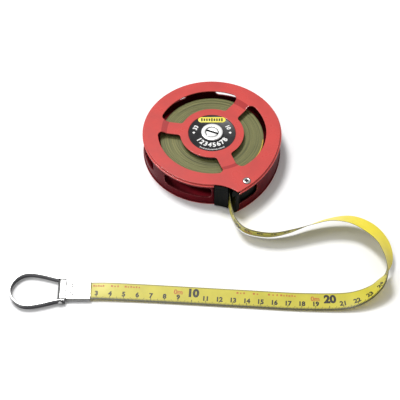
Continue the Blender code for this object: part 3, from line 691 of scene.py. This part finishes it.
def sweptStrip(strip):
    # both faces, the two cut edges and the ends, with a map that runs along the strip
    width, thick, parts = tapeStrip["width"], tapeStrip["thickness"], tapeStrip["across"]
    vertices, faces, places, finishes = [], [], [], []
    count = 2 * (parts + 1)
    for along in strip.scale:
        for side in (0.5, -0.5):
            for part in range(parts + 1):
                across = width * part / parts
                if side < 0:
                    across = width - across
                point = strip.place(along, across, side * thick)
                vertices.append(point)
                places.append((along / 500.0, across / width))
    for row in range(len(strip.scale) - 1):
        for item in range(count):
            following = (item + 1) % count
            one, two = row * count, (row + 1) * count
            faces.append((one + item, one + following, two + following, two + item))
            finishes.append(2 if item in (parts, count - 1) else (0 if item < parts else 1))
    last = (len(strip.scale) - 1) * count
    faces.append(tuple(range(count)))
    faces.append(tuple(reversed(range(last, last + count))))
    finishes += [2, 2]
    mesh = bpy.data.meshes.new("free_tape_strip")
    mesh.from_pydata(vertices, [], faces)
    layer = mesh.uv_layers.new(name="tape_run")
    for loop in mesh.loops:
        layer.data[loop.index].uv = places[loop.vertex_index]
    for face, finish in zip(mesh.polygons, finishes):
        face.material_index = finish
    piece = bpy.data.objects.new("printed_tape", mesh)
    bpy.context.scene.collection.objects.link(piece)
    return piece


def textShape(words, height, bold=0.0):
    # flat figures, lying at the origin with their foot on the X axis and centred on it, in mm
    clearSelection()
    bpy.ops.object.text_add(location=(0, 0, 0))
    figures = bpy.context.object.data
    figures.body = words
    figures.size = height * 1.4
    figures.align_x = "CENTER"
    figures.offset = bold
    figures.resolution_u = 3
    bpy.ops.object.convert(target="MESH")
    return bpy.context.object


def cutAcross(piece, step):
    # cuts the figures every step, so that they can follow a bend
    openMesh(piece)
    low = min(vertex.co.x for vertex in piece.data.vertices)
    high = max(vertex.co.x for vertex in piece.data.vertices)
    place = low + step
    while place < high:
        bpy.ops.mesh.select_all(action="SELECT")
        bpy.ops.mesh.bisect(plane_co=(place, 0, 0), plane_no=(1, 0, 0))
        place += step
    closeMesh()


def layOnStrip(piece, strip, along, foot):
    # along is the scale reading of the figures' middle, foot how far their foot is from the scale edge
    lift = tapeStrip["thickness"] / 2 + tapeStrip["inkLift"]
    for vertex in piece.data.vertices:
        vertex.co = strip.place(along + vertex.co.x, foot + vertex.co.y, lift)


def scaleFigures(strip, finishes):
    look = tapeStrip
    parts = []
    last = int((look["hiddenEnd"] + strip.total - 4) / 10)
    for mark in range(3, last + 1):
        big = mark % 10 == 0
        height, foot, shift, bold = look["digitHeight"], look["digitPlace"], 0.0, look["digitBold"]
        if big:
            height, foot, shift, bold = look["tenHeight"], look["tenPlace"], look["tenShift"], look["tenBold"]
        shape = textShape(str(mark), height, bold)
        cutAcross(shape, look["cutStep"])
        layOnStrip(shape, strip, mark * 10 + shift, foot)
        shape.data.materials.append(finishes["inkBlack"])
        parts.append(shape)
        if big:
            unit = textShape("0m", look["unitHeight"], look["unitBold"])
            cutAcross(unit, look["cutStep"])
            layOnStrip(unit, strip, mark * 10 - look["unitBefore"], look["unitPlace"])
            unit.data.materials.append(finishes["inkOrange"])
            parts.append(unit)
    return parts


def inkSheet(name, strip, blocks, finish):
    # flat blocks of ink: the reading and the foot of each, half its width and its height
    lift = tapeStrip["thickness"] / 2 + tapeStrip["inkLift"]
    vertices, faces = [], []
    for reading, foot, half, top in blocks:
        first = len(vertices)
        for shift, across in ((-half, foot), (half, foot), (half, top), (-half, top)):
            vertices.append(strip.place(reading + shift, across, lift))
        faces.append(tuple(range(first, first + 4)))
    mesh = bpy.data.meshes.new(name)
    mesh.from_pydata(vertices, [], faces)
    mesh.materials.append(finish)
    piece = bpy.data.objects.new(name, mesh)
    bpy.context.scene.collection.objects.link(piece)
    return piece


def scaleTicks(strip, finishes):
    look = tapeStrip
    blocks = []
    reading = int(look["firstMark"])
    while reading < look["hiddenEnd"] + strip.total - 3:
        kind = 2 if reading % 10 == 0 else (1 if reading % 5 == 0 else 0)
        half = look["tickWidth"] / 2 * (1.3 if kind == 2 else 1.0)
        blocks.append((reading, 0.1, half, look["tickLengths"][kind]))
        reading += 1
    return inkSheet("scale_ticks", strip, blocks, finishes["inkBlack"])


def warningDashes(strip, finishes):
    # small orange marks in rows along the far edge, in place of printed notes
    blocks = []
    foot = tapeStrip["dashPlace"]
    for start, count, gap in tapeStrip["dashRows"]:
        for index in range(count):
            half, tall = 0.55 + 0.2 * (index % 3 == 0), 1.5 - 0.4 * (index % 2)
            blocks.append((start + index * gap, foot, half, foot + tall))
    return inkSheet("orange_dashes", strip, blocks, finishes["inkOrange"])


def makeFreeTape(finishes):
    rows = smoothRoute(tapeRoute, tapeStrip["steps"])
    strip = Strip(rows)
    piece = sweptStrip(strip)
    for name in ("printed", "plain", "tapeEdge"):
        piece.data.materials.append(finishes[name])
    smoothen(piece, 50)
    marks = scaleFigures(strip, finishes) + [scaleTicks(strip, finishes), warningDashes(strip, finishes)]
    joinAll(piece, marks)
    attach(piece, "case")
    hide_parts("free_tape")
    path = [tuple(point[:3]) for point in rows]
    return piece, path, strip.total


caseLook = {
    "cheekRounding": 0.32,
    "cheekSharp": 23.0,
    "wallRounding": 0.36,
    "guideRounding": 0.30,
    "rampTilt": (0.3, 0.97),  # how upright a ramp's face is, least and most
    "rampArea": 1.0,  # mm2 that a ramp's face has at least
}


facesInward = {
    "front_cheek": lambda face: face.normal.z < -0.5,
    "rear_cheek": lambda face: face.normal.z > 0.5,
}


def isRamp(face):
    low, high = caseLook["rampTilt"]
    return low < abs(face.normal.z) < high and face.area > caseLook["rampArea"] * mm * mm


def giveFaces(piece, index, chosen):
    # the chosen faces take another of the piece's finishes
    for face in piece.data.polygons:
        if chosen(face):
            face.material_index = index


def makeCase(finishes):
    for node in ("front_cheek", "rear_cheek"):
        piece = softCopy(node, node + "_pressing", caseLook["cheekRounding"], 4, sharp=caseLook["cheekSharp"])
        dress(piece, "case", "red_lacquer", finishes["red"], finishes["wall"])
        # the cheeks' inner faces take the darker red as painted shade
        giveFaces(piece, 1, facesInward[node])
        # the ramps at the spokes take a darker red as painted shade
        piece.data.materials.append(finishes["ramp"])
        giveFaces(piece, 2, isRamp)
    piece = softCopy("rim_wall", "rim_wall_band", caseLook["wallRounding"])
    # the side wall takes the darker red as painted shade
    dress(piece, "case", "red_lacquer", finishes["wall"])
    for node in ("mouth_guide_inner", "mouth_guide_outer"):
        piece = softCopy(node, node + "_moulding", caseLook["guideRounding"])
        dress(piece, "case", "black_plastic", finishes["black"])
    print("case done")


eyeletLook = {
    "centre": (26.2, -50.3),
    "bore": 1.0,
    "shank": 2.1,
    "flange": 3.15,
    "rearHeight": 0.7,
    "headHeight": 0.6,
}


def makeEyelet(finishes):
    look = eyeletLook
    low, top = heights("mouth_eyelet")
    rear, seat = low + look["rearHeight"], top - look["headHeight"]
    profile = [
        (look["bore"], low), (look["flange"], low), (look["flange"], rear),
        (look["shank"], rear), (look["shank"], seat), (look["flange"], seat),
    ]
    for step in range(1, 9):  # the rolled head
        turn = math.pi * step / 9
        middle = (look["flange"] + look["bore"]) / 2
        reach = (look["flange"] - look["bore"]) / 2
        profile.append((middle + reach * math.cos(turn), seat + (top - seat) * math.sin(turn)))
    profile.append((look["bore"], seat))
    piece = turnedPiece("mouth_eyelet_ring", profile, 48, look["centre"])
    dress(piece, "case", "bright_nickel", finishes["nickel"])
    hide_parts("mouth_eyelet")


labelLook = {
    "inner": 2.6,
    "outer": 18.6,
    "pillPlace": (0.0, 14.0),
    "pillSize": (22.0, 5.6),
    "arcFigures": "12345678",
    "arcRadius": 14.0,
    "arcStart": 213.0,
    "arcEnd": 327.0,
    "arcHeight": 4.2,
    "tickRadius": 16.9,
}


def placeFlat(piece, radius, angle, turn, height):
    # sets figures down on the label, their foot towards the hub's middle or away from it
    piece.matrix_world = (
        Matrix.Translation((0, hubY * mm, height * mm))
        @ Matrix.Rotation(math.radians(angle), 4, "Z")
        @ Matrix.Translation((radius * mm, 0, 0))
        @ Matrix.Rotation(math.radians(turn), 4, "Z")
        @ Matrix.Scale(mm, 4)
    )
    settle(piece)


def makeLabel(finishes):
    look = labelLook
    low, high = heights("label_disc")
    profile = (
        (look["inner"], low), (look["outer"], low), (look["outer"], high),
        (look["outer"] - 0.5, high), (look["outer"] - 0.7, high - 0.12),
        (look["inner"] + 1.5, high - 0.12), (look["inner"], high - 0.12),
    )
    disc = turnedPiece("label_plate", profile, 120)
    dress(disc, "case", "label_black", finishes["label"])
    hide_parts("label_disc")
    face = high - 0.1
    marks = []
    figures = look["arcFigures"]
    for index, figure in enumerate(figures):
        angle = look["arcStart"] + (look["arcEnd"] - look["arcStart"]) * index / (len(figures) - 1)
        shape = textShape(figure, look["arcHeight"], 0.17)
        placeFlat(shape, look["arcRadius"], angle, 90, face)
        marks.append(shape)
    for words, angle in (("33", 156.0), ("10", 26.0)):
        shape = textShape(words, 3.4, 0.14)
        placeFlat(shape, 12.6, angle, -90, face)
        marks.append(shape)
    for angle in (178.0, 2.0):
        clearSelection()
        bpy.ops.mesh.primitive_plane_add(size=1.7)
        shape = bpy.context.object
        placeFlat(shape, 14.4, angle, 45, face)
        marks.append(shape)
    for index in range(31):
        clearSelection()
        bpy.ops.mesh.primitive_plane_add(size=1)
        shape = bpy.context.object
        shape.scale = (0.9 if index % 5 else 1.5, 0.3, 1)
        settle(shape)
        placeFlat(shape, look["tickRadius"], 236.0 + 68.0 * index / 30, 0, face)
        marks.append(shape)
    sheet = joinAll(marks[0], marks[1:])
    sheet.name = "label_figures"
    dress(sheet, "case", "label_black", finishes["white"])
    makePill(finishes, face)
    print("label done")


def makePill(finishes, face):
    look = labelLook
    across, tall = look["pillSize"]
    clearSelection()
    bpy.ops.mesh.primitive_cylinder_add(
        vertices=48, radius=tall / 2 * mm, depth=0.12 * mm,
        location=(look["pillPlace"][0] * mm, (look["pillPlace"][1] + hubY) * mm, (face + 0.05) * mm),
    )
    pill = bpy.context.object
    pill.name = "label_pill"
    settle(pill)
    for vertex in pill.data.vertices:
        vertex.co.x += math.copysign((across - tall) / 2 * mm, vertex.co.x)
    softenEdges(pill, 0.05)
    smoothen(pill)
    bars = []
    for index in range(9):
        clearSelection()
        bpy.ops.mesh.primitive_plane_add(size=1)
        bar = bpy.context.object
        bar.scale = (1.25 * mm, (3.4 if index % 4 == 0 else 2.7) * mm, 1)
        bar.location = ((index - 4) * 2.0 * mm, (look["pillPlace"][1] + hubY) * mm, (face + 0.13) * mm)
        settle(bar)
        bars.append(bar)
    lines = joinAll(bars[0], bars[1:])
    lines.name = "label_pill_bars"
    dress(pill, "case", "label_black", finishes["pill"])
    dress(lines, "case", "label_black", finishes["inkBlack"])


axleLook = {
    "washerInner": 5.3,
    "washerOuter": 8.5,
    "washerCrown": 0.3,
    "screwRounding": 0.12,
    "slotShade": 0.35,
}


def makeAxle(finishes):
    look = axleLook
    low, high = heights("axle_washer")
    middle = (look["washerInner"] + look["washerOuter"]) / 2
    reach = (look["washerOuter"] - look["washerInner"]) / 2
    profile = [(look["washerInner"], low), (look["washerOuter"], low)]
    for step in range(0, 11):
        turn = math.pi * step / 10
        rise = max(math.sin(turn), 0.0) ** look["washerCrown"]
        profile.append((middle + reach * math.cos(turn), low + 0.7 + (high - low - 0.7) * rise))
    washer = turnedPiece("axle_cup_washer", profile, 96)
    dress(washer, "case", "bright_nickel", finishes["axle"])
    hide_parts("axle_washer")
    for node in ("axle_screw", "rear_axle_screw"):
        screw = softCopy(node, node + "_head", look["screwRounding"])
        low, top = heights(node)
        dress(screw, "case", "bright_nickel", finishes["axle"], finishes["black"])
        if node == "axle_screw":
            floor = (top - look["slotShade"]) * mm
            giveFaces(screw, 1, lambda face: face.center.z < floor and face.center.z > floor - 1.2 * mm)
    print("axle done")


def leavingTurn(place, rim, leaves):
    # the stretch of the outermost turns that leaves for the mouth
    out = Vector((place.x, place.y - hubY * mm))
    return out.length > rim and out.normalized().dot(leaves) > math.cos(math.radians(coilLook["leavesSpan"]))


def makeCoil(finishes):
    look = coilLook
    floor, ceiling = heights("wound_tape")
    pitch = (look["outer"] - look["inner"]) / look["layers"]
    upper, lower = [], []
    for layer in range(look["layers"]):
        start = look["inner"] + layer * pitch
        top = ceiling - random.random() * look["unevenness"] - (0.1 if layer % 9 == 4 else 0.0)
        low = floor + random.random() * look["unevenness"]
        for share, fall in ((0.04, 0.1), (0.12, 0.0), (0.88, 0.0), (0.96, 0.1)):
            upper.append((start + pitch * share, top - fall))
            lower.append((start + pitch * share, low + fall))
    upper[-1] = (look["outer"], ceiling - 0.1)
    coil = turnedPiece("wound_tape_layers", upper[::-1] + lower, look["steps"])
    dress(coil, "reel", "tape_edge_olive", finishes["coil"], finishes["coilRim"])
    rim = (look["outer"] - pitch * look["leavingTurns"]) * mm
    leaves = Vector((math.cos(math.radians(look["leaves"])), math.sin(math.radians(look["leaves"]))))
    giveFaces(coil, 1, lambda face: leavingTurn(face.center, rim, leaves))
    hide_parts("wound_tape")
    print("coil done")


fittings = (
    # node, name, body, slot, finish, rounding
    ("crank_dish", "crank_dish_pressing", "reel", "bright_nickel", "nickel", 0.2),
    ("crank_bracket", "crank_bracket_bend", "reel", "plain_steel", "steel", 0.15),
    ("crank_arm", "crank_arm_blade", "crank", "bright_nickel", "nickel", 0.25),
    ("ferrule_bottom_plate", "ferrule_under_plate", "case", "bright_nickel", "nickel", 0.22),
    ("ferrule_top_plate", "ferrule_cover_plate", "case", "bright_nickel", "nickel", 0.28),
    ("hinge_clip", "hinge_clip_fold", "case", "bright_nickel", "nickel", 0.2),
    ("end_loop", "end_loop_strip", "loop", "bright_nickel", "loop", 0.3),
    ("reel_drum", "reel_drum_spool", "reel", "plain_steel", "steel", 0.15),
)
plainNodes = {
    "spindle": "steel", "spindle_washer": "steel", "bearing_bush": "brass", "dish_screw_1": "steel",
    "dish_screw_2": "steel", "dish_screw_3": "steel", "crank_pin": "steel", "knob_stud": "steel",
    "loop_pin": "nickel", "ferrule_rivet_1": "nickel", "ferrule_rivet_2": "nickel", "crank_knob": "knob",
}


def makeFittings(finishes):
    made = {}
    for node, name, body, slotName, finish, rounding in fittings:
        piece = softCopy(node, name, rounding)
        dress(piece, body, slotName, finishes[finish])
        if node == "end_loop":  # upright sides in a darker nickel as painted shade, upper and lower edges in a lighter steel as painted highlight
            piece.data.materials.append(finishes["steel"])
            giveFaces(piece, 1, lambda face: abs(face.normal.z) > 0.55)
        made[node] = piece
    for node, finish in plainNodes.items():
        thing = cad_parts[node]
        thing.data.materials.clear()
        thing.data.materials.append(finishes[finish])
        smoothen(thing)
    print("fittings done")
    return made


def build():
    clearSelection()
    addCamera()
    addStudio()
    finishes = makeFinishes()
    tape, path, length = makeFreeTape(finishes)
    print("free tape done,", round(length, 1), "mm")
    makeCase(finishes)
    makeEyelet(finishes)
    makeLabel(finishes)
    makeAxle(finishes)
    makeCoil(finishes)
    made = makeFittings(finishes)
    held = [made["ferrule_bottom_plate"], made["ferrule_top_plate"], made["hinge_clip"], made["end_loop"]]
    held += [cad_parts[name] for name in ("ferrule_rivet_1", "ferrule_rivet_2", "loop_pin")]
    round(length * mm, 3)


build()
clearSelection()
